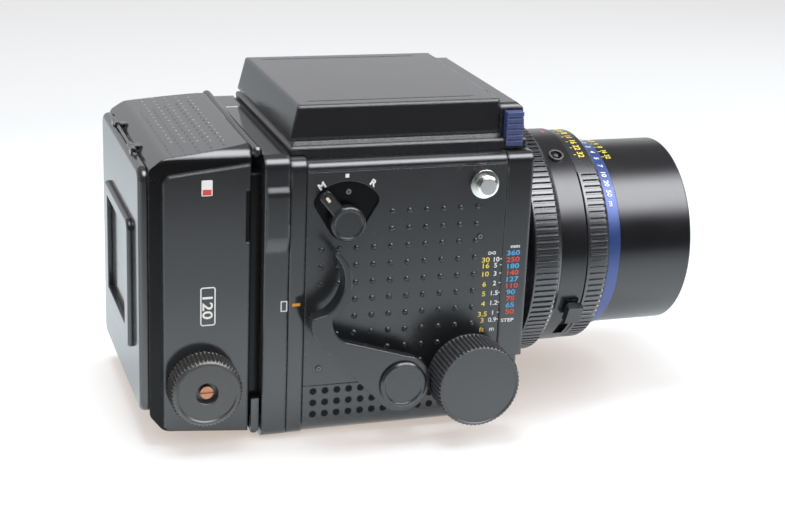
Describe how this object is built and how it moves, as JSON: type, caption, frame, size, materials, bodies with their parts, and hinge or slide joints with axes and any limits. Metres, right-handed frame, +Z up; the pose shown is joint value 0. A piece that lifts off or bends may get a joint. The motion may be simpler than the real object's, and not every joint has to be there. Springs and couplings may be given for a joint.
{
  "type": "medium format film camera",
  "caption": "Boxy medium format reflex film camera with a folding waist level hood, bellows focusing, interchangeable lens and a revolving roll film back.",
  "frame": {"origin": "mouth of the tripod socket, on the base plane below the optical axis", "axes": "+X along the optical axis the way the lens looks, +Y to the camera's left, +Z up"},
  "size_m": [0.238, 0.15, 0.1335],
  "materials": {
    "body_shell": "satin black",
    "satin_black_metal": "satin black paint",
    "panel_black": "fine grained black",
    "lid_paint": "fine satin black paint",
    "hood_sheet": "matt black sheet",
    "control_plastic": "black moulded control",
    "knob_metal": "black knurled knob",
    "lens_black": "black anodised barrel",
    "ring_blue": "blue satin ring",
    "catch_blue": "pale blue push piece",
    "lever_grey": "dark finger piece",
    "bright_steel": "bright",
    "lug_chrome": "polished",
    "screw_copper": "copper coloured",
    "film_paper": "wound film and spool",
    "bellows_cloth": "folded black bellows",
    "front_glass": "coated",
    "screen_glass": "ground",
    "mirror_silver": "front silvered"
  },
  "bodies": {
    "camera_body": {"body_housing": "body_shell", "top_cover": "body_shell", "bellows_frame": "satin_black_metal", "right_side_panel": "panel_black", "left_side_panel": "panel_black", "base_cover": "panel_black", "index_ring": "satin_black_metal", "tripod_plate": "bright_steel", "strap_lugs": "lug_chrome", "accessory_shoe": "satin_black_metal", "panel_screws": "lug_chrome", "battery": "bright_steel", "focusing_screen": "screen_glass", "finder_housing": "satin_black_metal", "hood_hinge_pins": "bright_steel", "bellows": "bellows_cloth"},
    "front_group": {"front_standard": "satin_black_metal", "focus_rails": "satin_black_metal", "lens_inner_tube": "lens_black", "lens_elements": "front_glass", "lens_base_barrel": "lens_black", "sync_socket": "lug_chrome", "front_barrel": "lens_black"},
    "lock_ring": {"lens_lock_ring": "knob_metal"},
    "aperture_control": {"aperture_ring": "knob_metal"},
    "floating_control": {"floating_ring": "ring_blue"},
    "preview_control": {"preview_lever": "lever_grey"},
    "focus_drive": {"focus_shaft": "bright_steel", "focus_knob_right": "knob_metal", "focus_knob_left": "knob_metal"},
    "focus_lock": {"focus_lock_lever": "control_plastic"},
    "cocking_arm": {"cocking_lever": "control_plastic", "cocking_lever_hub": "knob_metal"},
    "mode_selector": {"mode_lever": "control_plastic"},
    "finder_cover": {"finder_lid": "lid_paint"},
    "right_flap": {"hood_flap_right": "hood_sheet"},
    "left_flap": {"hood_flap_left": "hood_sheet"},
    "rear_flap": {"hood_flap_rear": "hood_sheet"},
    "magnifier": {"magnifier_frame": "hood_sheet", "magnifier_lens": "front_glass"},
    "right_catch": {"finder_release_right": "catch_blue"},
    "left_catch": {"finder_release_left": "catch_blue"},
    "mirror": {"mirror_frame": "hood_sheet", "reflex_mirror": "mirror_silver"},
    "release_button": {"shutter_release_button": "lug_chrome"},
    "collar": {"release_collar": "knob_metal"},
    "speed_dial": {"shutter_speed_dial": "control_plastic"},
    "battery_door": {"battery_cover": "panel_black"},
    "revolving_back": {"revolving_adapter": "satin_black_metal", "film_back_casing": "panel_black", "film_insert": "satin_black_metal"},
    "upper_lock": {"upper_slide_lock": "bright_steel"},
    "lower_lock": {"lower_slide_lock": "bright_steel"},
    "film_advance": {"film_advance_knob": "control_plastic", "take_up_spool": "film_paper", "advance_knob_screw": "screw_copper"},
    "film_supply": {"supply_spool": "film_paper"},
    "back_door": {"rear_cover": "panel_black", "memo_holder": "control_plastic"},
    "slide": {"dark_slide": "bright_steel"}
  },
  "joints": [
    {"name": "focus_travel", "type": "slide", "parent": "camera_body", "child": "front_group", "axis": [1, 0, 0], "range_m": [0, 0.046], "deforming": ["bellows"]},
    {"name": "focus_knob_turn", "type": "hinge", "parent": "camera_body", "child": "focus_drive", "pos_m": [0.0303, 0, 0.025], "axis": [0, 1, 0], "range_deg": [0, 440]},
    {"name": "focus_lock_turn", "type": "hinge", "parent": "camera_body", "child": "focus_lock", "pos_m": [0.0303, 0.0558, 0.025], "axis": [0, 1, 0], "range_deg": [0, 40]},
    {"name": "lock_ring_turn", "type": "hinge", "parent": "front_group", "child": "lock_ring", "pos_m": [0.067, 0, 0.0613], "axis": [1, 0, 0], "range_deg": [0, 45]},
    {"name": "aperture_turn", "type": "hinge", "parent": "front_group", "child": "aperture_control", "pos_m": [0.092, 0, 0.0613], "axis": [1, 0, 0], "range_deg": [-32, 32]},
    {"name": "floating_turn", "type": "hinge", "parent": "front_group", "child": "floating_control", "pos_m": [0.101, 0, 0.0613], "axis": [1, 0, 0], "range_deg": [0, 90]},
    {"name": "preview_turn", "type": "hinge", "parent": "front_group", "child": "preview_control", "pos_m": [0.082, 0, 0.0613], "axis": [1, 0, 0], "range_deg": [0, 18]},
    {"name": "cocking_swing", "type": "hinge", "parent": "camera_body", "child": "cocking_arm", "pos_m": [0.0013, -0.058, 0.025], "axis": [0, 1, 0], "range_deg": [0, 70], "stiffness_Nm_per_rad": 0.05, "springref_deg": -28.65},
    {"name": "mode_turn", "type": "hinge", "parent": "camera_body", "child": "mode_selector", "pos_m": [-0.0204, -0.056, 0.0894], "axis": [0, 1, 0], "range_deg": [0, 78]},
    {"name": "finder_lid_hinge", "type": "hinge", "parent": "camera_body", "child": "finder_cover", "pos_m": [0.0437, 0, 0.1316], "axis": [0, 1, 0], "range_deg": [0, 90]},
    {"name": "right_flap_hinge", "type": "hinge", "parent": "camera_body", "child": "right_flap", "pos_m": [0.003, -0.0402, 0.124], "axis": [1, 0, 0], "range_deg": [0, 90]},
    {"name": "left_flap_hinge", "type": "hinge", "parent": "camera_body", "child": "left_flap", "pos_m": [0.003, 0.0402, 0.124], "axis": [-1, 0, 0], "range_deg": [0, 90]},
    {"name": "rear_flap_hinge", "type": "hinge", "parent": "camera_body", "child": "rear_flap", "pos_m": [-0.0336, 0, 0.127], "axis": [0, -1, 0], "range_deg": [0, 90]},
    {"name": "magnifier_hinge", "type": "hinge", "parent": "finder_cover", "child": "magnifier", "pos_m": [-0.0143, 0, 0.1294], "axis": [0, 1, 0], "range_deg": [0, 90]},
    {"name": "right_catch_push", "type": "slide", "parent": "camera_body", "child": "right_catch", "axis": [0, 1, 0], "range_m": [0, 0.002], "stiffness_N_per_m": 200, "springref_m": -0.002},
    {"name": "left_catch_push", "type": "slide", "parent": "camera_body", "child": "left_catch", "axis": [0, -1, 0], "range_m": [0, 0.002], "stiffness_N_per_m": 200, "springref_m": -0.002},
    {"name": "mirror_swing", "type": "hinge", "parent": "camera_body", "child": "mirror", "pos_m": [-0.0305, 0, 0.096], "axis": [0, -1, 0], "range_deg": [0, 45]},
    {"name": "release_push", "type": "slide", "parent": "camera_body", "child": "release_button", "axis": [-1, 0, 0], "range_m": [0, 0.002], "stiffness_N_per_m": 300, "springref_m": -0.002},
    {"name": "collar_turn", "type": "hinge", "parent": "camera_body", "child": "collar", "pos_m": [0.057, -0.037, 0.0146], "axis": [1, 0, 0], "range_deg": [-45, 45]},
    {"name": "speed_dial_turn", "type": "hinge", "parent": "camera_body", "child": "speed_dial", "pos_m": [-0.016, 0.058, 0.086], "axis": [0, 1, 0], "range_deg": [-150, 150]},
    {"name": "battery_door_hinge", "type": "hinge", "parent": "camera_body", "child": "battery_door", "pos_m": [-0.029, 0.032, 0.0011], "axis": [0, 1, 0], "range_deg": [0, 90]},
    {"name": "back_rotation", "type": "hinge", "parent": "camera_body", "child": "revolving_back", "pos_m": [-0.04, 0, 0.0613], "axis": [1, 0, 0], "range_deg": [-90, 0]},
    {"name": "upper_lock_slide", "type": "slide", "parent": "revolving_back", "child": "upper_lock", "axis": [0, 1, 0], "range_m": [0, 0.006]},
    {"name": "lower_lock_slide", "type": "slide", "parent": "revolving_back", "child": "lower_lock", "axis": [0, -1, 0], "range_m": [0, 0.005]},
    {"name": "film_advance_turn", "type": "hinge", "parent": "revolving_back", "child": "film_advance", "pos_m": [-0.0754, 0, 0.025], "axis": [0, 1, 0], "continuous": true},
    {"name": "film_supply_turn", "type": "hinge", "parent": "revolving_back", "child": "film_supply", "pos_m": [-0.0754, 0, 0.0956], "axis": [0, 1, 0], "continuous": true},
    {"name": "back_door_hinge", "type": "hinge", "parent": "revolving_back", "child": "back_door", "pos_m": [-0.0972, 0, 0.1133], "axis": [0, 1, 0], "range_deg": [0, 110]},
    {"name": "dark_slide_travel", "type": "slide", "parent": "revolving_back", "child": "slide", "axis": [0, 1, 0], "range_m": [0, 0.079]}
  ],
  "couplings": [
    {"joint": "focus_knob_turn", "follows": "focus_travel", "rad_per_m": 166.67},
    {"joint": "right_flap_hinge", "follows": "finder_lid_hinge", "ratio": 1},
    {"joint": "left_flap_hinge", "follows": "finder_lid_hinge", "ratio": 1},
    {"joint": "rear_flap_hinge", "follows": "finder_lid_hinge", "ratio": 1},
    {"joint": "magnifier_hinge", "follows": "finder_lid_hinge", "ratio": 1},
    {"joint": "film_supply_turn", "follows": "film_advance_turn", "ratio": 0.7143}
  ]
}
